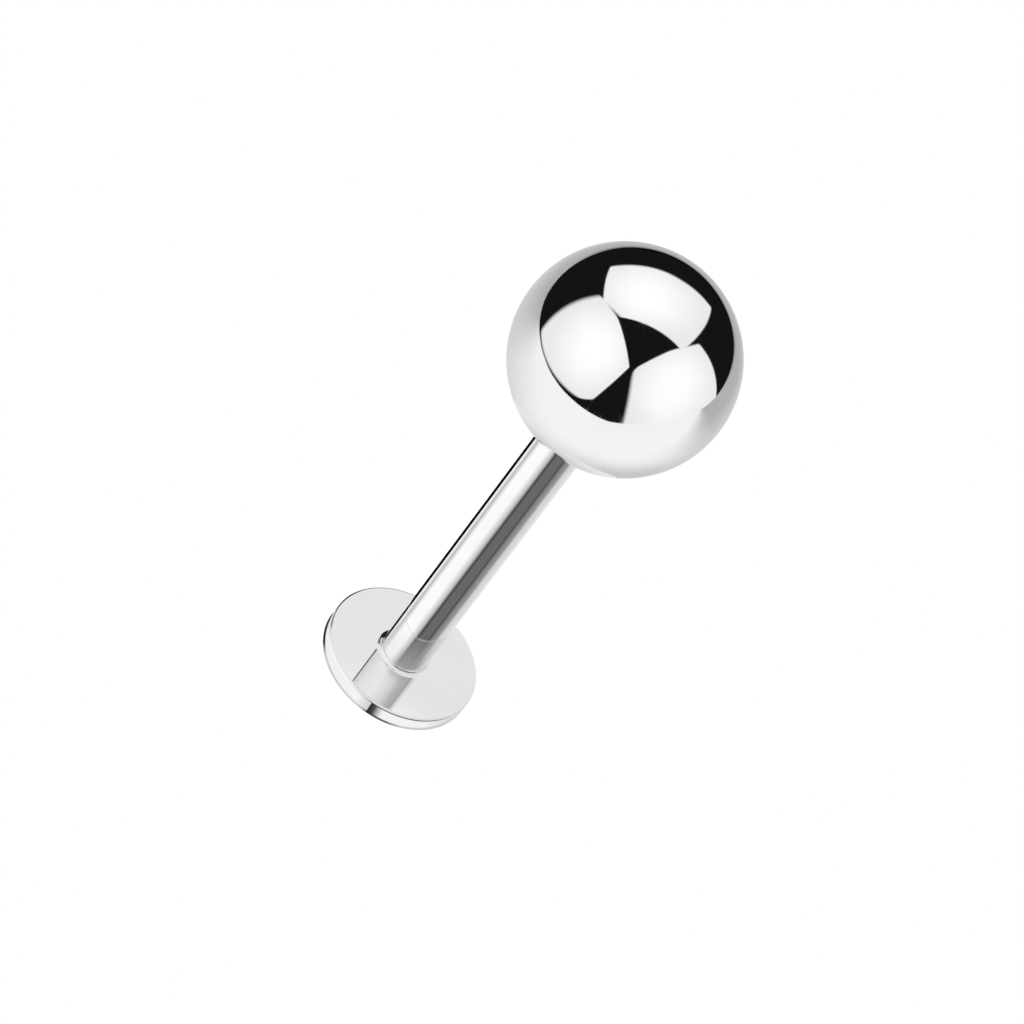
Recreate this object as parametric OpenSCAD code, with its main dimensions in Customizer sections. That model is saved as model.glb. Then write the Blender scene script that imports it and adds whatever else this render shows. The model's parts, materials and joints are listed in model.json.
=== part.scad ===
// Labret stud with a push-in ball end, standing on its flat back disc.
// Millimetres. The origin is the centre of the disc's back face, and +Z runs up the post to the ball.

/* [Disc] */
// Diameter of the flat back disc
disc_d = 3.83; // [2.6:0.05:6]
// Thickness of the disc
disc_t = 0.45; // [0.3:0.05:0.8]
// Rounding of the two edges of the disc's rim
rim_round = 0.06; // [0.02:0.01:0.12]

/* [Post] */
// Outside diameter of the tube, 16 gauge
post_d = 1.2; // [1:0.05:2]
// Clear length of the tube, from the disc's front face to its open end
wear_length = 8.85; // [6:0.25:16]
// Radius of the fillet where the tube meets the disc
foot_fillet = 0.12; // [0.04:0.02:0.3]
// Length of solid metal in the tube's foot, under the bore
foot_solid = 0.75; // [0.3:0.05:2]
// Rounding of the outer edge at the tube's open end
mouth_round = 0.08; // [0.02:0.01:0.12]
// Width and depth of the flare at the mouth of the bore
mouth_flare = 0.04; // [0.02:0.01:0.06]

/* [Ball end] */
// Diameter of the ball
ball_d = 5.25; // [3:0.25:8]
// Diameter of the push pin
pin_d = 0.46; // [0.3:0.02:0.6]
// Rounding of the pin's tip
tip_round = 0.12; // [0.04:0.02:0.14]

/* [Clearances] */
// Play between the pin and the bore, on each side
pin_play = 0.1; // [0.02:0.01:0.1]
// Gap between the pin's tip and the bottom of the bore
tip_gap = 0.3; // [0.1:0.05:1]
// Gap between the tube's open end and the flat under the ball
seat_gap = 0.02; // [0.01:0.01:0.05]

/* [Hidden] */
$fn = 96;

steel = [0.80, 0.81, 0.82];

post_r = post_d / 2;
ball_r = ball_d / 2;
bore_r = pin_d / 2 + pin_play;

// Heights above the disc's back face
open_end_z = disc_t + wear_length;
bore_floor_z = disc_t + foot_solid;
pin_tip_z = bore_floor_z + tip_gap;
// The tube's foot is sunk half way into the disc
foot_z = disc_t / 2;
// How far a cut runs past the surface that it opens
overrun = 1;

// The ball has a flat as wide as the tube, which the tube's open end seats against
seat_z = open_end_z + seat_gap;
ball_centre_z = seat_z + sqrt(ball_r * ball_r - post_r * post_r);

// Half-section of a round bar on the axis, with its outer edges rounded by edge
module bar_section(r, h, edge) {
    square([r - edge, h]);
    translate([0, edge]) square([r, h - 2 * edge]);
    for (y = [edge, h - edge])
        translate([r - edge, y])
            intersection() {
                circle(edge);
                translate([0, -edge]) square([edge, 2 * edge]);
            }
}

// Half-section of a hollow fillet in the corner at the origin, backed by metal on its two inner sides
module fillet_section(f) {
    difference() {
        translate([-f, -f]) square(2 * f);
        translate([f, f]) circle(f);
    }
}

module round_bar(r, z_from, z_to, edge) {
    translate([0, 0, z_from]) rotate_extrude() bar_section(r, z_to - z_from, edge);
}

// Blind bore for the push pin, flared at its mouth and run past the open end
module pin_bore() {
    translate([0, 0, bore_floor_z]) cylinder(r = bore_r, h = open_end_z - bore_floor_z + overrun);
    flare_h = mouth_flare + overrun;
    translate([0, 0, open_end_z - mouth_flare]) cylinder(r1 = bore_r, r2 = bore_r + flare_h, h = flare_h);
}

// Flat disc and tube, welded into one piece with a fillet round the foot
module flat_back_post() {
    color(steel)
        difference() {
            union() {
                round_bar(disc_d / 2, 0, disc_t, rim_round);
                round_bar(post_r, foot_z, open_end_z, mouth_round);
                translate([0, 0, disc_t]) rotate_extrude() translate([post_r, 0]) fillet_section(foot_fillet);
            }
            pin_bore();
        }
}

// Ball with the push pin fixed in it, the pin reaching down the bore
module ball_end() {
    color(steel)
        union() {
            difference() {
                translate([0, 0, ball_centre_z]) sphere(r = ball_r);
                translate([0, 0, seat_z - ball_r]) cylinder(r = ball_r, h = ball_r);
            }
            round_bar(pin_d / 2, pin_tip_z, ball_centre_z, tip_round);
        }
}

flat_back_post();
ball_end();
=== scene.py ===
"""A labret stud of mirror-polished steel, and the small studio that it is shown in.

All sizes are in metres. The stud stands on its flat back disc at the origin, and its post runs up along +Z.
The camera looks from the -Y side.
"""

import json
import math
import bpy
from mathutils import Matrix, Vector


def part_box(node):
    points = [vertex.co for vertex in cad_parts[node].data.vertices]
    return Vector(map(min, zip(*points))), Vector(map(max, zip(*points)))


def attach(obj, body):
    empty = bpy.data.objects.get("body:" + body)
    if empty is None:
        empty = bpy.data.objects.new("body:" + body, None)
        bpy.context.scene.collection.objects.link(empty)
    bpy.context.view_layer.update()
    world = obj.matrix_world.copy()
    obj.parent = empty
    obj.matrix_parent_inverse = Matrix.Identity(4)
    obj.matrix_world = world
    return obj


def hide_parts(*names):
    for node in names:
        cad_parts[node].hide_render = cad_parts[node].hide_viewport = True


bl_info = {
    "name": "Labret Stud",
    "version": (1, 0, 0),
    "blender": (4, 5, 0),
    "location": "View3D > Sidebar > Labret Stud",
    "description": "Makes a polished steel labret stud with a push-in ball end, and its studio",
    "category": "Add Mesh",
}

from collections import namedtuple

import bpy
from mathutils import Matrix, Vector

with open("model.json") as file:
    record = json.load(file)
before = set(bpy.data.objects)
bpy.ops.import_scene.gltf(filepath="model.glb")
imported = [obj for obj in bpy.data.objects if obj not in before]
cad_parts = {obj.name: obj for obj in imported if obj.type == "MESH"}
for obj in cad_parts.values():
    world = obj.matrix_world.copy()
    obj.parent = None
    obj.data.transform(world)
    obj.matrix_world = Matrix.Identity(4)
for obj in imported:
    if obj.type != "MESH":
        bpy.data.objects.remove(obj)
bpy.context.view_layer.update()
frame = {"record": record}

MM = 0.001

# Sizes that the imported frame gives
POST_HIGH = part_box("flat_back_post")[1]
BALL_LOW, BALL_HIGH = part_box("ball_end")
MOUNTS = {mount["name"]: mount for mount in frame["record"]["mounts"]}
TUBE_RADIUS = MOUNTS["post_bearing"]["dims"]["r_mm"] * MM

# The sweep runs round a rail of this radius, about as wide as the stud, so that no digits are lost
RAIL_RADIUS = 1 * MM
WELD_DISTANCE = 0.0001 * MM
TURNED_SEGMENTS = 256
ARC_POINTS = 12
BALL_ARC_POINTS = 128
SHARP_ANGLE = math.radians(30)
# How strongly the larger faces at a corner decide its normal
AREA_POWER = 6


def length(name, description, default):
    """A property that holds a size in metres."""
    return bpy.props.FloatProperty(
        name=name, description=description, default=default, min=0, precision=6, unit="LENGTH"
    )


def share(name, description, default):
    """A property that holds a share from 0 to 1."""
    return bpy.props.FloatProperty(
        name=name, description=description, default=default, min=0, max=1, precision=4, subtype="FACTOR"
    )


def angle(name, description, degrees):
    """A property that holds an angle."""
    return bpy.props.FloatProperty(
        name=name, description=description, default=math.radians(degrees), subtype="ANGLE"
    )


class BackPostSizes(bpy.types.PropertyGroup):
    """Sizes of the flat back disc and of the tube that is welded to it"""

    disc_radius: length("Disc Radius", "Radius of the flat back disc", POST_HIGH.x)
    disc_thickness: length("Disc Thickness", "Thickness of the flat back disc", 0.45 * MM)
    rim_rounding: length("Rim Rounding", "Rounding of the two edges of the disc's rim", 0.06 * MM)
    tube_radius: length("Tube Radius", "Outer radius of the tube", TUBE_RADIUS)
    tube_top: length("Tube Top", "Height of the tube's open end over the disc's back face", POST_HIGH.z)
    foot_fillet: length("Foot Fillet", "Radius of the weld's fillet where the tube meets the disc", 0.12 * MM)
    mouth_rounding: length("Mouth Rounding", "Rounding of the outer edge at the open end", 0.08 * MM)
    mouth_flare: length("Mouth Flare", "Width and depth of the flare at the mouth of the bore", 0.04 * MM)
    bore_radius: length("Bore Radius", "Radius of the bore that takes the push pin", 0.33 * MM)
    bore_floor: length("Bore Floor", "Height of the bottom of the bore over the disc's back face", 1.2 * MM)


class BallEndSizes(bpy.types.PropertyGroup):
    """Sizes of the ball and of the push pin that is fixed in it"""

    ball_radius: length("Ball Radius", "Radius of the ball", BALL_HIGH.x)
    ball_top: length("Ball Top", "Height of the ball's top over the disc's back face", BALL_HIGH.z)
    seat_radius: length("Seat Radius", "Radius of the flat under the ball, where the tube seats", TUBE_RADIUS)
    pin_radius: length("Pin Radius", "Radius of the push pin", 0.23 * MM)
    pin_tip: length("Pin Tip", "Height of the pin's tip over the disc's back face", BALL_LOW.z)
    tip_rounding: length("Tip Rounding", "Rounding of the pin's tip", 0.12 * MM)


class SteelFinish(bpy.types.PropertyGroup):
    """Colour and polish of the steel"""

    colour: bpy.props.FloatVectorProperty(
        name="Steel Colour", description="Colour of the polished steel", default=(0.80, 0.80, 0.80), size=3,
        min=0, max=1, subtype="COLOR",
    )
    roughness: share("Roughness", "Roughness of the clean mirror polish", 0.03)
    haze: share("Polishing Haze", "How much roughness the clouds left by the buffing wheel add", 0.02)
    scratches: share("Fine Scratches", "How much roughness the hairline scratches add", 0.04)
    wear: share("Edge Wear", "How much roughness handling adds along the edges", 0.08)
    relief: length("Relief", "Depth of the scratches and turning lines", 0.000002 * MM)


class StudioLook(bpy.types.PropertyGroup):
    """Camera and light of the studio"""

    camera_elevation: angle("Camera Elevation", "Height of the camera over the horizon", 42.841)
    camera_roll: angle("Camera Roll", "Turn of the camera about its line of sight", 37.037)
    camera_distance: length("Camera Distance", "Distance from the camera to the middle of the stud", 120 * MM)
    camera_lens: bpy.props.FloatProperty(
        name="Lens", description="Focal length on a sensor 36 mm wide", default=184.5, min=1, unit="CAMERA"
    )
    softbox_distance: length("Softbox Distance", "Distance from the ball to the side softboxes", 250 * MM)
    softbox_brightness: bpy.props.FloatProperty(
        name="Softbox Brightness", description="Brightness of a softbox away from its hot spot", default=1.03,
        min=0,
    )
    darkness: share("Room Darkness", "Brightness of the dark room between the softboxes", 0.0105)


class NodeNet:
    """Adds nodes to a tree, each with its settings, and with its inputs set or linked."""

    def __init__(self, tree):
        self.tree = tree

    def node(self, kind, inputs=None, **settings):
        added = self.tree.nodes.new(kind)
        for name, value in settings.items():
            setattr(added, name, value)
        for name, value in (inputs or {}).items():
            self.feed(added.inputs[name], value)
        return added

    def feed(self, socket, value):
        if isinstance(value, bpy.types.NodeSocket):
            self.tree.links.new(value, socket)
        else:
            socket.default_value = value

    def math(self, operation, *values):
        """The result of a Math node, in a geometry or a shader tree."""
        added = self.tree.nodes.new("ShaderNodeMath")
        added.operation = operation
        for socket, value in zip(added.inputs, values):
            self.feed(socket, value)
        return added.outputs["Value"]

    def vector(self, x, y, z=0.0):
        return self.node("ShaderNodeCombineXYZ", {"X": x, "Y": y, "Z": z}).outputs["Vector"]

    def dot(self, a, b):
        return self.node("ShaderNodeVectorMath", {0: a, 1: b}, operation="DOT_PRODUCT").outputs["Value"]

    def length(self, vector):
        return self.node("ShaderNodeVectorMath", {0: vector}, operation="LENGTH").outputs["Value"]

    def smooth_step(self, value, low, high, result_low=0.0, result_high=1.0):
        """A smooth change from result_low to result_high as value goes from low to high."""
        inputs = {
            "Value": value,
            "From Min": low,
            "From Max": high,
            "To Min": result_low,
            "To Max": result_high,
        }
        return self.node("ShaderNodeMapRange", inputs, interpolation_type="SMOOTHSTEP").outputs["Result"]

    def choose(self, data_type, index, values):
        """The value whose place in the list is the index."""
        switch = self.node("GeometryNodeIndexSwitch", data_type=data_type)
        while len(switch.index_switch_items) < len(values):
            switch.index_switch_items.new()
        self.feed(switch.inputs["Index"], index)
        for place, value in enumerate(values):
            self.feed(switch.inputs[str(place)], value)
        return switch.outputs["Output"]


Corner = namedtuple("Corner", "radius height rounding", defaults=(0.0,))


def start_lathe_tree(name, sizes):
    """A new Geometry Nodes tree with a named input for each size, and its node net and input sockets."""
    tree = bpy.data.node_groups.new(name, "GeometryNodeTree")
    tree.interface.new_socket("Mesh", in_out="OUTPUT", socket_type="NodeSocketGeometry")
    for size_name in sizes:
        socket = tree.interface.new_socket(size_name, in_out="INPUT", socket_type="NodeSocketFloat")
        socket.subtype = "DISTANCE"
        socket.min_value = 0
    tree.interface.new_socket("Segments", in_out="INPUT", socket_type="NodeSocketInt")
    tree.interface.new_socket("Steel", in_out="INPUT", socket_type="NodeSocketMaterial")
    net = NodeNet(tree)
    return net, net.node("NodeGroupInput").outputs


def rounded_line(net, corners):
    """A curve through the corners, with each corner rounded by its own radius."""
    line = net.node("GeometryNodeMeshLine", {"Count": len(corners)}, mode="OFFSET").outputs["Mesh"]
    index = net.node("GeometryNodeInputIndex").outputs["Index"]
    places = net.choose("VECTOR", index, [net.vector(c.radius, c.height) for c in corners])
    roundings = net.choose("FLOAT", index, [c.rounding for c in corners])
    placed = net.node("GeometryNodeSetPosition", {"Geometry": line, "Position": places}).outputs["Geometry"]
    curve = net.node("GeometryNodeMeshToCurve", {"Mesh": placed}).outputs["Curve"]
    fillet_inputs = {"Curve": curve, "Count": ARC_POINTS, "Radius": roundings, "Limit Radius": True}
    return net.node("GeometryNodeFilletCurve", fillet_inputs, mode="POLY").outputs["Curve"]


def finish_lathe_tree(net, outline, segments, steel):
    """Turns the half outline, with its radius along X and its height along Y, into a solid round +Z.

    The sweep lays the outline's Y along -Z, so the outline is turned over first, and the faces are turned
    back after it.
    """
    rail_inputs = {"Resolution": segments, "Radius": RAIL_RADIUS}
    rail = net.node("GeometryNodeCurvePrimitiveCircle", rail_inputs, mode="RADIUS").outputs["Curve"]
    place_inputs = {"Geometry": outline, "Translation": (-RAIL_RADIUS, 0, 0), "Scale": (1, -1, 1)}
    profile = net.node("GeometryNodeTransform", place_inputs).outputs["Geometry"]
    swept = net.node("GeometryNodeCurveToMesh", {"Curve": rail, "Profile Curve": profile}).outputs["Mesh"]
    outward = net.node("GeometryNodeFlipFaces", {"Mesh": swept}).outputs["Mesh"]
    weld_inputs = {"Geometry": outward, "Distance": WELD_DISTANCE}
    welded = net.node("GeometryNodeMergeByDistance", weld_inputs).outputs["Geometry"]
    smooth = net.node("GeometryNodeSetShadeSmooth", {"Geometry": welded}).outputs["Geometry"]
    real = net.node("GeometryNodeRealizeInstances", {"Geometry": smooth}).outputs["Geometry"]
    finished = net.node("GeometryNodeSetMaterial", {"Geometry": real, "Material": steel}).outputs["Geometry"]
    net.node("NodeGroupOutput", {"Mesh": finished})
    return net.tree


def back_post_tree():
    """Tree for the flat disc and the hollow tube, welded into one piece with a fillet round the foot."""
    sizes = ("Disc Radius", "Disc Thickness", "Rim Rounding", "Tube Radius", "Tube Top", "Foot Fillet",
             "Mouth Rounding", "Mouth Flare", "Bore Radius", "Bore Floor")
    net, size = start_lathe_tree("Flat Back Post", sizes)
    flare_radius = net.math("ADD", size["Bore Radius"], size["Mouth Flare"])
    flare_foot = net.math("SUBTRACT", size["Tube Top"], size["Mouth Flare"])
    outline = rounded_line(net, [
        Corner(0.0, 0.0),
        Corner(size["Disc Radius"], 0.0, size["Rim Rounding"]),
        Corner(size["Disc Radius"], size["Disc Thickness"], size["Rim Rounding"]),
        Corner(size["Tube Radius"], size["Disc Thickness"], size["Foot Fillet"]),
        Corner(size["Tube Radius"], size["Tube Top"], size["Mouth Rounding"]),
        Corner(flare_radius, size["Tube Top"]),
        Corner(size["Bore Radius"], flare_foot),
        Corner(size["Bore Radius"], size["Bore Floor"]),
        Corner(0.0, size["Bore Floor"]),
    ])
    return finish_lathe_tree(net, outline, size["Segments"], size["Steel"])


def ball_end_tree():
    """Tree for the ball, the flat that seats on the tube, and the push pin."""
    sizes = ("Ball Radius", "Ball Top", "Seat Radius", "Pin Radius", "Pin Tip", "Tip Rounding")
    net, size = start_lathe_tree("Ball End", sizes)
    centre = net.math("SUBTRACT", size["Ball Top"], size["Ball Radius"])
    ball_square = net.math("POWER", size["Ball Radius"], 2.0)
    seat_square = net.math("POWER", size["Seat Radius"], 2.0)
    seat_drop = net.math("SQRT", net.math("SUBTRACT", ball_square, seat_square))
    seat = net.math("SUBTRACT", centre, seat_drop)
    shank = rounded_line(net, [
        Corner(0.0, size["Pin Tip"]),
        Corner(size["Pin Radius"], size["Pin Tip"], size["Tip Rounding"]),
        Corner(size["Pin Radius"], seat),
        Corner(size["Seat Radius"], seat),
    ])
    seat_angle = net.math("ARCTAN2", net.math("MULTIPLY", seat_drop, -1.0), size["Seat Radius"])
    arc_inputs = {
        "Resolution": BALL_ARC_POINTS,
        "Radius": size["Ball Radius"],
        "Start Angle": seat_angle,
        "Sweep Angle": net.math("SUBTRACT", math.pi / 2, seat_angle),
    }
    arc = net.node("GeometryNodeCurveArc", arc_inputs, mode="RADIUS").outputs["Curve"]
    lift_inputs = {"Geometry": arc, "Translation": net.vector(0.0, centre)}
    ball = net.node("GeometryNodeTransform", lift_inputs).outputs["Geometry"]
    join = net.node("GeometryNodeJoinGeometry")
    for part in (ball, shank):
        net.tree.links.new(part, join.inputs["Geometry"])
    return finish_lathe_tree(net, join.outputs["Geometry"], size["Segments"], size["Steel"])


def corner_normals(mesh):
    """A normal for each face corner, which the largest faces there decide, so that flats look truly flat."""
    faces_at = [[] for _ in mesh.vertices]
    for face in mesh.polygons:
        for index in face.vertices:
            faces_at[index].append((face.normal.copy(), face.area))
    limit = math.cos(SHARP_ANGLE)
    normals = []
    for face in mesh.polygons:
        for index in face.vertices:
            near = [(normal, area) for normal, area in faces_at[index] if normal.dot(face.normal) > limit]
            largest = max(area for normal, area in near)
            total = Vector()
            for normal, area in near:
                total += normal * (area / largest) ** AREA_POWER
            normals.append(total.normalized())
    return normals


def turned_piece(name, tree, sizes, steel):
    """An object that holds, as a plain mesh, what a lathe tree makes of these sizes."""
    piece = bpy.data.objects.new(name, bpy.data.meshes.new(name))
    bpy.context.scene.collection.objects.link(piece)
    modifier = piece.modifiers.new("Lathe", "NODES")
    modifier.node_group = tree
    values = {prop.name: getattr(sizes, prop.identifier) for prop in sizes.bl_rna.properties}
    values.update({"Segments": TURNED_SEGMENTS, "Steel": steel})
    for item in tree.interface.items_tree:
        if item.in_out == "INPUT":
            modifier[item.identifier] = values[item.name]
    graph = bpy.context.evaluated_depsgraph_get()
    mesh = bpy.data.meshes.new_from_object(piece.evaluated_get(graph), depsgraph=graph)
    if not mesh.polygons:
        raise RuntimeError(f"{name}: its Geometry Nodes tree made no faces")
    piece.modifiers.remove(modifier)
    piece.data = mesh
    mesh.name = name
    mesh.set_sharp_from_angle(angle=SHARP_ANGLE)
    mesh.normals_split_custom_set(corner_normals(mesh))
    return piece


def new_shader_group(name, inputs, outputs):
    """A shader node group with these inputs and outputs, its node net, input sockets and output node."""
    tree = bpy.data.node_groups.new(name, "ShaderNodeTree")
    for socket_name, default in inputs.items():
        kind = "NodeSocketVector" if isinstance(default, tuple) else "NodeSocketFloat"
        tree.interface.new_socket(socket_name, in_out="INPUT", socket_type=kind).default_value = default
    for socket_name in outputs:
        tree.interface.new_socket(socket_name, in_out="OUTPUT", socket_type="NodeSocketFloat")
    net = NodeNet(tree)
    return net, net.node("NodeGroupInput").outputs, net.node("NodeGroupOutput")


def axis_place(net):
    """Distance from the post's axis, and height over the back face, of the shaded point."""
    place = net.node("ShaderNodeTexCoord").outputs["Object"]
    parts = net.node("ShaderNodeSeparateXYZ", {"Vector": place}).outputs
    return net.length(net.vector(parts["X"], parts["Y"])), parts["Z"]


def polishing_marks_group():
    """Faint clouds, hairline scratches and turning lines, as the buffing wheel and the lathe leave them."""
    if "Polishing Marks" in bpy.data.node_groups:
        return bpy.data.node_groups["Polishing Marks"]
    inputs = {"Haze Scale": 900.0, "Scratch Scale": 1100.0, "Scratch Width": 0.012, "Turning Scale": 22000.0}
    net, given, result = new_shader_group("Polishing Marks", inputs, ("Haze", "Scratches", "Height"))
    place = net.node("ShaderNodeTexCoord").outputs["Object"]
    haze_inputs = {"Vector": place, "Scale": given["Haze Scale"], "Detail": 4.0}
    haze = net.smooth_step(net.node("ShaderNodeTexNoise", haze_inputs).outputs["Fac"], 0.42, 0.72)

    bend = net.node("ShaderNodeTexNoise", {"Vector": place, "Scale": given["Haze Scale"], "Detail": 1.0})
    broken = net.smooth_step(bend.outputs["Fac"], 0.5, 0.62)
    masks = []
    for turn, stretch in ((0.5, 0.16), (-1.1, 0.22)):
        mapping = {"Vector": place, "Rotation": (turn, 0.3, turn), "Scale": (1.0, 1.0, stretch)}
        laid = net.node("ShaderNodeMapping", mapping).outputs["Vector"]
        cells_inputs = {"Vector": laid, "Scale": given["Scratch Scale"], "Randomness": 1.0}
        cells = net.node("ShaderNodeTexVoronoi", cells_inputs, feature="DISTANCE_TO_EDGE").outputs["Distance"]
        line = net.smooth_step(cells, 0.0, given["Scratch Width"], 1.0, 0.0)
        masks.append(net.math("MULTIPLY", line, broken))
    scratches = net.math("MAXIMUM", *masks)

    radius, height = axis_place(net)
    along = net.math("ADD", radius, height)
    lines_inputs = {"W": along, "Scale": given["Turning Scale"], "Detail": 2.0}
    lines = net.node("ShaderNodeTexNoise", lines_inputs, noise_dimensions="1D").outputs["Fac"]
    net.feed(result.inputs["Haze"], haze)
    net.feed(result.inputs["Scratches"], scratches)
    net.feed(result.inputs["Height"], net.math("SUBTRACT", net.math("MULTIPLY", lines, 0.3), scratches))
    return net.tree


def worn_edge_group():
    """Mask of a narrow ring round the axis, from 1 on the edge at that radius and height to 0."""
    if "Worn Edge" in bpy.data.node_groups:
        return bpy.data.node_groups["Worn Edge"]
    inputs = {"Edge Radius": 0.0, "Edge Height": 0.0, "Width": 0.1 * MM}
    net, given, result = new_shader_group("Worn Edge", inputs, ("Mask",))
    radius, height = axis_place(net)
    off_radius = net.math("SUBTRACT", radius, given["Edge Radius"])
    off_height = net.math("SUBTRACT", height, given["Edge Height"])
    distance = net.length(net.vector(off_radius, off_height))
    net.feed(result.inputs["Mask"], net.smooth_step(distance, 0.0, given["Width"], 1.0, 0.0))
    return net.tree


WornEdge = namedtuple("WornEdge", "radius height width")
DULLING = 0.97


def polished_steel(name, finish, edges):
    """Mirror-polished steel with faint polishing marks, a little duller along the worn edges."""
    steel = bpy.data.materials.new(name)
    steel.use_nodes = True
    net = NodeNet(steel.node_tree)
    surface = steel.node_tree.nodes["Principled BSDF"]
    marks = net.node("ShaderNodeGroup", node_tree=polishing_marks_group()).outputs
    worn = 0.0
    for edge in edges:
        ring_inputs = {"Edge Radius": edge.radius, "Edge Height": edge.height, "Width": edge.width}
        ring = net.node("ShaderNodeGroup", ring_inputs, node_tree=worn_edge_group())
        worn = net.math("MAXIMUM", worn, ring.outputs["Mask"])

    roughness = net.math("MULTIPLY_ADD", marks["Haze"], finish.haze, finish.roughness)
    roughness = net.math("MULTIPLY_ADD", marks["Scratches"], finish.scratches, roughness)
    roughness = net.math("MULTIPLY_ADD", worn, finish.wear, roughness)
    net.feed(surface.inputs["Roughness"], roughness)

    tint = net.node("ShaderNodeMix", data_type="RGBA")
    clean, dull = (socket for socket in tint.inputs if socket.type == "RGBA")
    clean.default_value = (*finish.colour, 1)
    dull.default_value = (*(DULLING * channel for channel in finish.colour), 1)
    net.feed(tint.inputs["Factor"], net.math("MAXIMUM", worn, marks["Haze"]))
    net.feed(surface.inputs["Base Color"], next(s for s in tint.outputs if s.type == "RGBA"))
    surface.inputs["Metallic"].default_value = 1

    relief_inputs = {"Height": marks["Height"], "Distance": finish.relief, "Strength": 1.0}
    net.feed(surface.inputs["Normal"], net.node("ShaderNodeBump", relief_inputs).outputs["Normal"])
    return steel


def seat_piece(piece, body, node):
    """The piece stands for its CAD node, which is hidden, and moves with its body."""
    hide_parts(node)
    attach(piece, body)


class STUD_OT_back_post(bpy.types.Operator):
    """Make the flat back disc with its welded tube"""

    bl_idname = "stud.back_post"
    bl_label = "Flat Back Post"

    def execute(self, context):
        sizes = context.scene.stud_back_post
        finish = context.scene.stud_finish
        edges = (
            WornEdge(sizes.disc_radius, 0, 0.09 * MM),
            WornEdge(sizes.disc_radius, sizes.disc_thickness, 0.07 * MM),
            WornEdge(sizes.tube_radius, sizes.tube_top, 0.12 * MM),
            WornEdge(sizes.tube_radius, sizes.disc_thickness, 0.14 * MM),
        )
        steel = polished_steel("Post Steel", finish, edges)
        piece = turned_piece("polished_back_post", back_post_tree(), sizes, steel)
        seat_piece(piece, "back_post", "flat_back_post")
        linked_pieces(POST_LIGHTS).objects.link(piece)
        return {"FINISHED"}


class STUD_OT_ball_end(bpy.types.Operator):
    """Make the ball with its push pin"""

    bl_idname = "stud.ball_end"
    bl_label = "Ball End"

    def execute(self, context):
        sizes = context.scene.stud_ball_end
        finish = context.scene.stud_finish
        centre = sizes.ball_top - sizes.ball_radius
        seat = centre - math.sqrt(sizes.ball_radius**2 - sizes.seat_radius**2)
        edges = (WornEdge(sizes.seat_radius, seat, 0.1 * MM), WornEdge(0, sizes.pin_tip, 0.25 * MM))
        steel = polished_steel("Ball Steel", finish, edges)
        piece = turned_piece("polished_ball_end", ball_end_tree(), sizes, steel)
        seat_piece(piece, "front_end", "ball_end")
        linked_pieces(BALL_LIGHTS).objects.link(piece)
        return {"FINISHED"}


def stage_mesh(name, points, faces):
    """An object of the studio, which isn't part of the stud."""
    mesh = bpy.data.meshes.new(name)
    mesh.from_pydata([tuple(p) for p in points], [], faces)
    thing = bpy.data.objects.new(name, mesh)
    bpy.context.scene.collection.objects.link(thing)
    return thing


# The ball and the post have lights of their own, set apart by light linking, because in the photograph the
# reflections in them don't agree
BALL_LIGHTS = "Ball Lights"
POST_LIGHTS = "Post Lights"


def linked_pieces(name):
    """The collection of the pieces that one set of lights shines on."""
    return bpy.data.collections.get(name) or bpy.data.collections.new(name)


def shines_on(light, name):
    """Lets a light shine on one collection of pieces only."""
    light.light_linking.receiver_collection = linked_pieces(name)


def seen_only_in_reflections(thing):
    """Hides a light from the camera and keeps it from casting shadows."""
    thing.visible_camera = False
    thing.visible_shadow = False


def seen_only_by_camera(thing):
    """Keeps the floor that the camera sees out of the steel."""
    thing.visible_glossy = False
    thing.visible_diffuse = False
    thing.visible_transmission = False
    thing.visible_shadow = False


def direction(azimuth, elevation=0.0):
    """Unit vector for an azimuth in degrees, from +Y towards +X, and an elevation over the horizon."""
    a, e = math.radians(azimuth), math.radians(elevation)
    return Vector((math.sin(a) * math.cos(e), math.cos(a) * math.cos(e), math.sin(e)))


def glow(name, light_of):
    """A material that only shines. light_of adds its nodes to a net and gives the brightness and the cover.

    Where the cover is below 1, what stands behind shows through.
    """
    shine = bpy.data.materials.new(name)
    shine.use_nodes = True
    shine.node_tree.nodes.clear()
    net = NodeNet(shine.node_tree)
    brightness, cover = light_of(net)
    emission = net.node("ShaderNodeEmission", {"Strength": brightness}).outputs["Emission"]
    clear = net.node("ShaderNodeBsdfTransparent").outputs["BSDF"]
    mixed = net.node("ShaderNodeMixShader", {0: cover, 1: clear, 2: emission}).outputs["Shader"]
    net.node("ShaderNodeOutputMaterial", {"Surface": mixed})
    return shine


# One edge of a softbox: the corner where it starts, how far it bows outwards and the width over which it
# fades. Corners go round anticlockwise from the lower left. They are tangents of the angles off the line from
# the ball to the softbox's centre, so that it keeps its look at any distance.
Edge = namedtuple("Edge", "x y bow softness")
# Nearness is a share of the studio's softbox distance, and the hot spot is the softbox's brightest place.
Softbox = namedtuple("Softbox", "name azimuth elevation nearness hot_spot edges")

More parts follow.
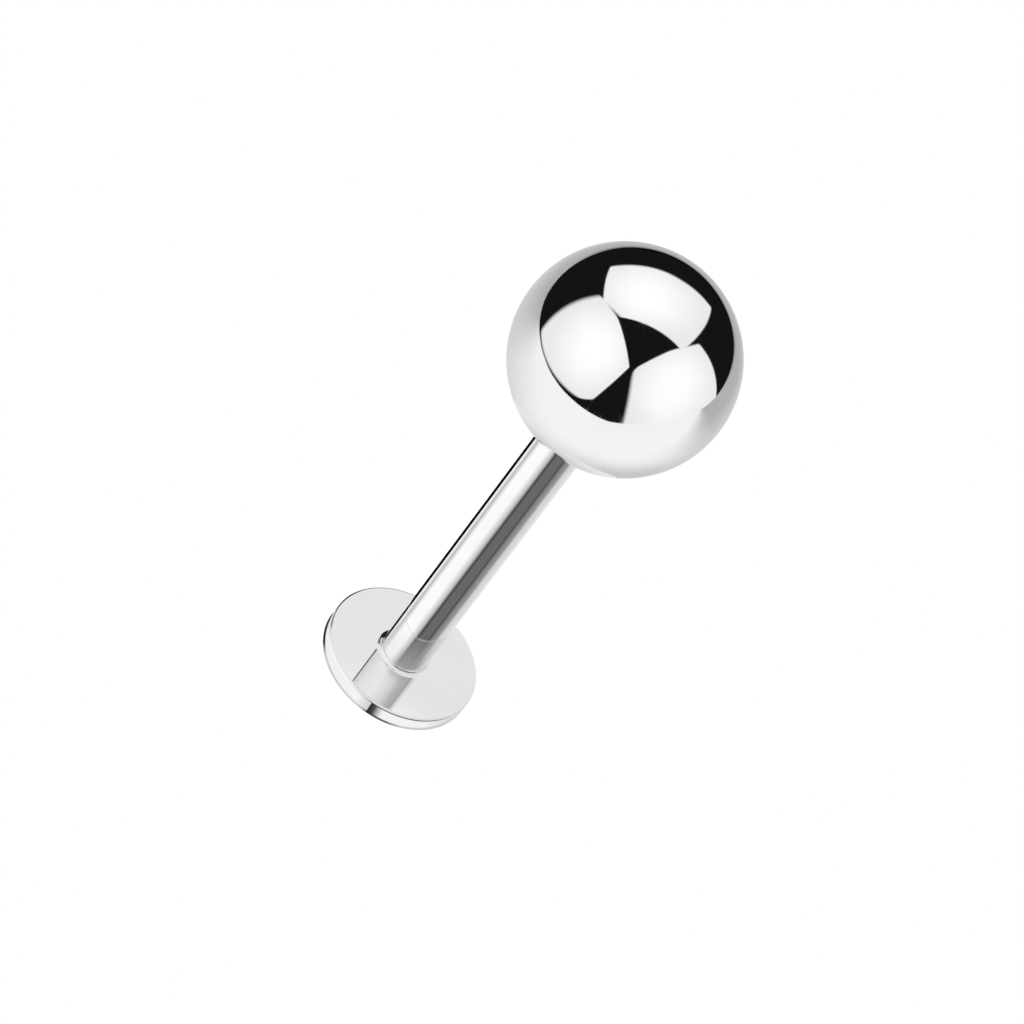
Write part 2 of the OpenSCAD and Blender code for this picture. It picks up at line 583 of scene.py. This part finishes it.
SOFTBOXES = (
    Softbox("left_softbox", -140, 20, 1.0, (-0.10, 0.10), (
        Edge(-0.93, -0.62, 0.03, 0.05),
        Edge(-0.55, -0.90, 0.01, 0.12),
        Edge(1.26, -0.97, 0.00, 0.24),
        Edge(1.12, 0.64, 0.00, 0.06),
        Edge(0.30, 0.80, 0.04, 0.04),
        Edge(-0.89, 0.58, 0.00, 0.04),
    )),
    Softbox("back_softbox", -12, 55, 0.7, (-0.25, 0.30), (
        Edge(-0.77, -0.61, -0.12, 0.09),
        Edge(0.70, -0.61, 0.00, 0.05),
        Edge(0.99, 0.92, 0.00, 0.08),
        Edge(0.90, 1.01, -0.05, 0.05),
        Edge(-0.88, 1.03, 0.00, 0.16),
        Edge(-1.27, 0.54, 0.00, 0.05),
    )),
    Softbox("right_softbox", 108, 25, 1.0, (0.10, 0.00), (
        Edge(-1.12, -0.66, 0.00, 0.05),
        Edge(1.18, -1.10, 0.00, 0.18),
        Edge(1.13, 0.40, 0.03, 0.10),
        Edge(0.96, 0.60, 0.03, 0.05),
        Edge(0.00, 0.71, 0.00, 0.05),
        Edge(-0.69, 0.57, 0.00, 0.05),
    )),
)
HOT_SPOT_GAIN = 0.24
HOT_SPOT_RADIUS = 1.1


def soft_edge_group():
    """Cover of a panel along one of its edges, from 0 on the edge to 1 where the edge's fade ends."""
    if "Soft Edge" in bpy.data.node_groups:
        return bpy.data.node_groups["Soft Edge"]
    inputs = {"Start": (0, 0, 0), "Run": (1, 0, 0), "Inward": (0, 1, 0), "Bow": 0.0, "Softness": 0.05}
    net, given, result = new_shader_group("Soft Edge", inputs, ("Cover",))
    place = net.node("ShaderNodeTexCoord").outputs["UV"]
    away_inputs = {0: place, 1: given["Start"]}
    away = net.node("ShaderNodeVectorMath", away_inputs, operation="SUBTRACT").outputs["Vector"]
    along = net.dot(away, given["Run"])
    parabola = net.math("MULTIPLY", net.math("MULTIPLY", along, 4.0), net.math("SUBTRACT", 1.0, along))
    arch = net.math("MAXIMUM", parabola, 0.0)
    inside = net.math("MULTIPLY_ADD", arch, given["Bow"], net.dot(away, given["Inward"]))
    net.feed(result.inputs["Cover"], net.smooth_step(inside, 0.0, given["Softness"]))
    return net.tree


def softbox_light(net, box, brightness):
    """A softbox is a little hotter inside, and its soft edges fade to clear."""
    cover = 1.0
    for edge, following in zip(box.edges, box.edges[1:] + box.edges[:1]):
        run = Vector((following.x - edge.x, following.y - edge.y, 0))
        edge_inputs = {
            "Start": (edge.x, edge.y, 0),
            "Run": run / run.length_squared,
            "Inward": Vector((-run.y, run.x, 0)).normalized(),
            "Bow": edge.bow,
            "Softness": edge.softness,
        }
        fade = net.node("ShaderNodeGroup", edge_inputs, node_tree=soft_edge_group()).outputs["Cover"]
        cover = net.math("MULTIPLY", cover, fade)
    place = net.node("ShaderNodeTexCoord").outputs["UV"]
    aside_inputs = {0: place, 1: (*box.hot_spot, 0)}
    aside = net.node("ShaderNodeVectorMath", aside_inputs, operation="DISTANCE").outputs["Value"]
    return net.smooth_step(aside, 0.0, HOT_SPOT_RADIUS, brightness + HOT_SPOT_GAIN, brightness), cover


def softbox_panel(box, centre, look):
    """A panel square to the line from the ball, with its tangents as its UV map."""
    forward = direction(box.azimuth, box.elevation)
    right = forward.cross(Vector((0, 0, 1))).normalized()
    up = right.cross(forward)
    margin = 0.2
    xs = [edge.x for edge in box.edges]
    ys = [edge.y for edge in box.edges]
    low_x, high_x = min(xs) - margin, max(xs) + margin
    low_y, high_y = min(ys) - margin, max(ys) + margin
    corners = ((low_x, low_y), (high_x, low_y), (high_x, high_y), (low_x, high_y))
    reach = box.nearness * look.softbox_distance
    points = [centre + reach * (forward + x * right + y * up) for x, y in corners]
    panel = stage_mesh(box.name, points, [(0, 1, 2, 3)])
    layer = panel.data.uv_layers.new(name="UVMap")
    for loop in panel.data.loops:
        layer.data[loop.index].uv = corners[loop.vertex_index]
    panel.data.materials.append(glow(box.name, lambda net: softbox_light(net, box, look.softbox_brightness)))
    seen_only_in_reflections(panel)
    shines_on(panel, BALL_LIGHTS)
    return panel


# Edge of the glowing board under the stud, whose light is painted, as azimuth in degrees and distance from
# the stud in millimetres
BOARD_EDGE = (
    (40, 300), (70, 300), (100, 300), (112, 200), (126, 95), (141, 56), (152, 42), (160, 35.5), (172, 32.5),
    (185, 30.8), (198, 30), (218, 30), (239, 33), (256, 37), (264, 39), (275, 43), (290, 50), (300, 60),
    (315, 85), (330, 150), (345, 300), (10, 300),
)
BOARD_DROP = 0.02 * MM
BOARD_TOWARD = (0.15, -0.99, 0)
BOARD_AWAY = (-0.35, 0.94, 0)
# Painted light of the board: its brightness on the camera's side, and behind the stud near and far
BOARD_FRONT = 1.12
BOARD_BACK = (0.74, 0.54)
# Middle and depth of the painted soft shadow of the stud on the board
SHADE_PLACE = (4 * MM, 3 * MM, 0)
SHADE_DEPTH = 0.72


def board_light(net):
    """The board's light is painted: bright on the camera's side, falling off behind the stud, with a painted
    soft shadow of the stud.
    """
    place = net.node("ShaderNodeTexCoord").outputs["Object"]
    back = net.smooth_step(net.length(place), 5 * MM, 45 * MM, *BOARD_BACK)
    light = net.smooth_step(net.dot(place, BOARD_TOWARD), -12 * MM, 9 * MM, back, BOARD_FRONT)
    far_fade = net.smooth_step(net.dot(place, BOARD_AWAY), 50 * MM, 140 * MM, 1.0, 0.0)
    aside_inputs = {0: place, 1: SHADE_PLACE}
    aside = net.node("ShaderNodeVectorMath", aside_inputs, operation="DISTANCE").outputs["Value"]
    shade = net.smooth_step(aside, 0.0, 10 * MM, SHADE_DEPTH, 1.0)
    return net.math("MULTIPLY", net.math("MULTIPLY", light, far_fade), shade), 1.0


def painted_light_board():
    """A glowing board under the stud that the polished steel reflects, with painted light and a painted
    shadow of the stud.
    """
    edge = [direction(azimuth) * (distance * MM) for azimuth, distance in BOARD_EDGE]
    points = [(p.x, p.y, -BOARD_DROP) for p in edge]
    board = stage_mesh("painted_light_board", points, [tuple(reversed(range(len(points))))])
    board.data.materials.append(glow("painted_light_board", board_light))
    seen_only_in_reflections(board)
    shines_on(board, BALL_LIGHTS)
    return board


FLOOR_SIZE = 700 * MM


def pale_floor():
    """The plain white floor that the camera sees."""
    corners = ((-1, -1), (1, -1), (1, 1), (-1, 1))
    points = [(x * FLOOR_SIZE, y * FLOOR_SIZE, -BOARD_DROP) for x, y in corners]
    floor = stage_mesh("pale_floor", points, [(0, 1, 2, 3)])
    floor.data.materials.append(glow("pale_floor", lambda net: (1.0, 1.0)))
    seen_only_by_camera(floor)
    return floor


# The post is lit by a ring of light on the floor and by a round light tent. Each stop is a turn in degrees
# round the post and the brightness there. Turns start on the -Y side, with + towards +X, and the brightness
# changes evenly from stop to stop. These first stops are the streaks on the post.
STREAK_STOPS = (
    (-180, 0.00), (-129, 0.00), (-128, 1.05), (-111, 1.00), (-110, 0.66), (-97, 0.66), (-94, 0.80),
    (-76, 1.22), (-30, 1.20), (-4, 0.66), (4, 0.22), (5, 0.10), (14, 0.10), (15, 0.17),
    (51, 0.17), (52, 0.11), (60, 0.11), (61, 0.22), (89, 0.42), (97, 0.78), (144, 0.90),
    (180, 1.00),
)
# What the post's foot shows by way of the disc, first at the disc's rim and then at the foot itself
FOOT_RIM_STOPS = (
    (-180, 0.98), (-158, 0.98), (-154, 0.00), (-129, 0.00), (-128, 1.30), (-111, 1.22), (-110, 0.85),
    (-97, 0.85), (-76, 1.50), (-30, 1.48), (-4, 0.84), (4, 0.20), (14, 0.20), (16, 0.28),
    (51, 0.28), (53, 0.22), (60, 0.22), (62, 0.32), (89, 0.55), (99, 0.95), (132, 0.98),
    (180, 0.98),
)
FOOT_STOPS = (
    (-180, 0.98), (-158, 0.98), (-154, 0.00), (-129, 0.00), (-128, 1.00), (-104, 0.94), (-70, 1.34),
    (-33, 1.34), (4, 0.47), (90, 0.50), (120, 0.75), (127, 0.98), (180, 0.98),
)
# What the disc shows straight and by way of the post, first at its middle and then at its front
DISC_STOPS = (
    (-180, 0.98), (-155, 0.98), (-151, 0.10), (-137, 0.10), (-132, 0.96), (-70, 1.18), (-12, 1.26),
    (42, 1.04), (72, 0.74), (120, 0.54), (127, 0.98), (180, 0.98),
)
DISC_FRONT_STOPS = (
    (-180, 1.06), (-177, 0.99), (-155, 0.98), (-151, 0.30), (-137, 0.30), (-132, 0.96), (-70, 1.18),
    (-12, 1.26), (42, 1.04), (72, 0.74), (120, 0.60), (127, 0.98), (170, 1.05), (176, 1.14),
    (180, 1.08),
)
# The plain part of the tent
PLAIN_STOPS = ((-180, 0.98), (180, 0.98))
# A dark gap low in the tent, which the foot's fillet and the rim's rounding show
GAP_STOPS = ((-180, 0.98), (-162, 0.98), (-157, 0.02), (-114, 0.02), (-108, 0.98), (180, 0.98))
# Floor light that the disc's rim shows, against the disc, where it is darker as painted contact shade, and
# farther out
CONTACT_SHADE_STOPS = (
    (-180, 0.85), (-94, 0.80), (-90, 0.02), (-62, 0.02), (-52, 0.72), (-2, 0.72), (4, 0.02),
    (20, 0.06), (32, 0.72), (180, 0.72),
)
RIM_STOPS = (
    (-180, 0.90), (-80, 0.95), (-70, 1.06), (-8, 1.12), (3, 0.82), (4, 0.02), (8, 0.10),
    (9, 0.25), (15, 1.12), (52, 1.12), (75, 0.85), (180, 0.98),
)
# One circle of a ring of light. The stops lie on the straight lines along which a post of the start radius
# reflects them, so that they run straight up the post.
LightCircle = namedtuple("LightCircle", "radius height stops start_radius", defaults=(0.0,))


def between(stops, turn):
    """The brightness at a turn, straight between the stops."""
    for (low, low_value), (high, high_value) in zip(stops, stops[1:]):
        if turn <= high:
            return low_value + (high_value - low_value) * (turn - low) / (high - low)
    return stops[-1][1]


def reflected_place(circle, turn):
    """The place on the circle that a post of the circle's start radius shows at this turn."""
    start = direction(180 - turn / 2) * circle.start_radius
    along = direction(180 - turn)
    lead = start.dot(along)
    reach = math.sqrt(lead**2 + circle.radius**2 - circle.start_radius**2) - lead
    place = start + along * reach
    return place.x, place.y, circle.height


def ring_of_circles(name, circles):
    """A ring of the studio from circle to circle, with its brightness in the attribute light."""
    points = []
    faces = []
    lights = []
    count = len(circles)
    turns = range(-180, 181)
    for turn in turns:
        points.extend(reflected_place(circle, turn) for circle in circles)
        lights.extend(between(circle.stops, turn) for circle in circles)
    for column in range(len(turns)):
        here = column * count
        following = (column + 1) % len(turns) * count
        faces.extend((here + k, following + k, following + k + 1, here + k + 1) for k in range(count - 1))
    ring = stage_mesh(name, points, faces)
    ring.data.attributes.new("light", "FLOAT", "POINT").data.foreach_set("value", lights)
    seen_only_in_reflections(ring)
    return ring


def light_ring(name, circles):
    """A ring of light for the post, which the ball's lights shine through."""
    ring = ring_of_circles(name, circles)
    shine = bpy.data.materials.new(name)
    shine.use_nodes = True
    shine.node_tree.nodes.clear()
    net = NodeNet(shine.node_tree)
    light = net.node("ShaderNodeAttribute", attribute_name="light").outputs["Fac"]
    emission = net.node("ShaderNodeEmission", {"Strength": light}).outputs["Emission"]
    clear = net.node("ShaderNodeBsdfTransparent").outputs["BSDF"]
    both = net.node("ShaderNodeAddShader", {0: emission, 1: clear}).outputs["Shader"]
    net.node("ShaderNodeOutputMaterial", {"Surface": both})
    ring.data.materials.append(shine)
    shines_on(ring, POST_LIGHTS)
    return ring


# Brightness of the ball's lid, a glowing card whose light is a painted reflection of the disc, at its outer
# edge and beside the post, where it is darker as painted shade
LID_EDGE_STOPS = ((-180, 0.86), (-120, 0.90), (-70, 0.98), (70, 0.98), (120, 0.90), (180, 0.86))
LID_INNER_STOPS = ((-180, 0.70), (180, 0.70))
LID_HEIGHT = 7 * MM
LID_RADIUS = 2.2 * MM
LID_CLEARANCE = 0.03 * MM
# Steel nearer than this doesn't show the lid. Every place on the post over it is nearer, and the ball isn't.
LID_NEAR = 3 * MM


def painted_disc_reflection(post):
    """A small round glowing card that faces up and stands in for the disc in the ball: a painted reflection
    of the disc, darker beside the post as painted shade.
    """
    lid = ring_of_circles("painted_disc_reflection", [
        LightCircle(LID_RADIUS, LID_HEIGHT, LID_EDGE_STOPS),
        LightCircle(post.tube_radius + LID_CLEARANCE, LID_HEIGHT, LID_INNER_STOPS),
    ])

    def lid_light(net):
        light = net.node("ShaderNodeAttribute", attribute_name="light").outputs["Fac"]
        behind = net.node("ShaderNodeNewGeometry").outputs["Backfacing"]
        ray_length = net.node("ShaderNodeLightPath").outputs["Ray Length"]
        far = net.math("GREATER_THAN", ray_length, LID_NEAR)
        return light, net.math("MULTIPLY", far, net.math("SUBTRACT", 1.0, behind))

    lid.data.materials.append(glow("painted_disc_reflection", lid_light))
    shines_on(lid, BALL_LIGHTS)
    return lid


TENT_RADIUS = 40 * MM
TENT_HEIGHT = 55 * MM
TENT_VENT = 1 * MM
# Heights up the tent's wall in millimetres, with the stops there
TENT_LEVELS = (
    (0.0, STREAK_STOPS),
    (9.0, STREAK_STOPS),
    (12.0, GAP_STOPS),
    (28.0, GAP_STOPS),
    (30.0, PLAIN_STOPS),
    (33.0, PLAIN_STOPS),
    (36.8, FOOT_RIM_STOPS),
    (38.0, FOOT_RIM_STOPS),
    (39.6, FOOT_STOPS),
    (39.9, FOOT_STOPS),
    (40.2, DISC_STOPS),
    (41.6, DISC_STOPS),
    (43.0, DISC_FRONT_STOPS),
    (47.0, PLAIN_STOPS),
)
# Distances off the disc's edge in millimetres, with the floor's stops there; the first two carry the painted
# contact shade
RIM_LEVELS = ((-0.1, CONTACT_SHADE_STOPS), (0.08, CONTACT_SHADE_STOPS), (0.12, RIM_STOPS), (0.42, RIM_STOPS))
STREAK_START = 0.45 * MM
RING_DROP = 0.01 * MM


def post_lights(post):
    """The floor's ring of light and the tent, which only the post and its disc show."""
    rim = post.disc_radius
    tube = post.tube_radius
    light_ring("floor_light", [
        *(LightCircle(rim + off * MM, -RING_DROP, stops) for off, stops in RIM_LEVELS),
        LightCircle(rim + STREAK_START, -RING_DROP, STREAK_STOPS, tube),
        LightCircle(TENT_RADIUS, -RING_DROP, STREAK_STOPS, tube),
    ])
    light_ring("light_tent", [
        *(LightCircle(TENT_RADIUS, level * MM, stops, tube) for level, stops in TENT_LEVELS),
        LightCircle(TENT_RADIUS, TENT_HEIGHT, PLAIN_STOPS),
        LightCircle(TENT_VENT, TENT_HEIGHT, PLAIN_STOPS),
    ])


class STUD_OT_studio(bpy.types.Operator):
    """Set up the floor, the lights and the camera"""

    bl_idname = "stud.studio"
    bl_label = "Studio"

    def execute(self, context):
        look = context.scene.stud_studio
        ball = context.scene.stud_ball_end
        ball_centre = Vector((0, 0, ball.ball_top - ball.ball_radius))
        for box in SOFTBOXES:
            softbox_panel(box, ball_centre, look)
        painted_light_board()
        pale_floor()
        post_lights(context.scene.stud_back_post)
        painted_disc_reflection(context.scene.stud_back_post)
        dark_room(context.scene, look)
        studio_camera(context.scene, look)
        context.scene.view_settings.view_transform = "Standard"
        return {"FINISHED"}


def dark_room(scene, look):
    """A room that is white to the camera, and dark where the steel reflects it."""
    world = bpy.data.worlds.new("Studio Room")
    world.use_nodes = True
    world.node_tree.nodes.clear()
    net = NodeNet(world.node_tree)
    camera_ray = net.node("ShaderNodeLightPath").outputs["Is Camera Ray"]
    strength = net.math("MAXIMUM", camera_ray, look.darkness)
    background = net.node("ShaderNodeBackground", {"Strength": strength}).outputs["Background"]
    net.node("ShaderNodeOutputWorld", {"Surface": background})
    scene.world = world


CAMERA_TARGET = Vector((0, 0, 6 * MM))
CAMERA_SHIFT = (0.0982 * MM, 0.0760 * MM)


def studio_camera(scene, look):
    """The camera looks down at the post, turned about its line of sight so that the post leans."""
    back = Vector((0, -math.cos(look.camera_elevation), math.sin(look.camera_elevation)))
    level = Vector((1, 0, 0))
    above = back.cross(level)
    right = level * math.cos(look.camera_roll) + above * math.sin(look.camera_roll)
    up = above * math.cos(look.camera_roll) - level * math.sin(look.camera_roll)
    place = CAMERA_TARGET + back * look.camera_distance + right * CAMERA_SHIFT[0] + up * CAMERA_SHIFT[1]
    camera = bpy.data.objects.new("studio_camera", bpy.data.cameras.new("studio_camera"))
    scene.collection.objects.link(camera)
    camera.data.sensor_width = 36
    camera.data.lens = look.camera_lens
    camera.data.clip_start = 1 * MM
    camera.data.clip_end = 2
    camera.matrix_world = Matrix.Translation(place) @ Matrix((right, up, back)).transposed().to_4x4()
    scene.camera = camera


class STUD_PT_panel(bpy.types.Panel):
    """Sizes and buttons for the labret stud"""

    bl_label = "Labret Stud"
    bl_space_type = "VIEW_3D"
    bl_region_type = "UI"
    bl_category = "Labret Stud"

    def draw(self, context):
        scene = context.scene
        groups = (
            (scene.stud_back_post, STUD_OT_back_post),
            (scene.stud_ball_end, STUD_OT_ball_end),
            (scene.stud_finish, None),
            (scene.stud_studio, STUD_OT_studio),
        )
        for group, operator in groups:
            box = self.layout.box()
            for name in group.__annotations__:
                box.prop(group, name)
            if operator:
                box.operator(operator.bl_idname)


CLASSES = (
    BackPostSizes,
    BallEndSizes,
    SteelFinish,
    StudioLook,
    STUD_OT_back_post,
    STUD_OT_ball_end,
    STUD_OT_studio,
    STUD_PT_panel,
)
SCENE_GROUPS = {
    "stud_back_post": BackPostSizes,
    "stud_ball_end": BallEndSizes,
    "stud_finish": SteelFinish,
    "stud_studio": StudioLook,
}


def register():
    for cls in CLASSES:
        bpy.utils.register_class(cls)
    for name, group in SCENE_GROUPS.items():
        setattr(bpy.types.Scene, name, bpy.props.PointerProperty(type=group))


def unregister():
    for name in SCENE_GROUPS:
        delattr(bpy.types.Scene, name)
    for cls in reversed(CLASSES):
        bpy.utils.unregister_class(cls)


def main():
    register()
    bpy.ops.stud.studio()
    bpy.ops.stud.back_post()
    bpy.ops.stud.ball_end()


if __name__ == "__main__":
    main()
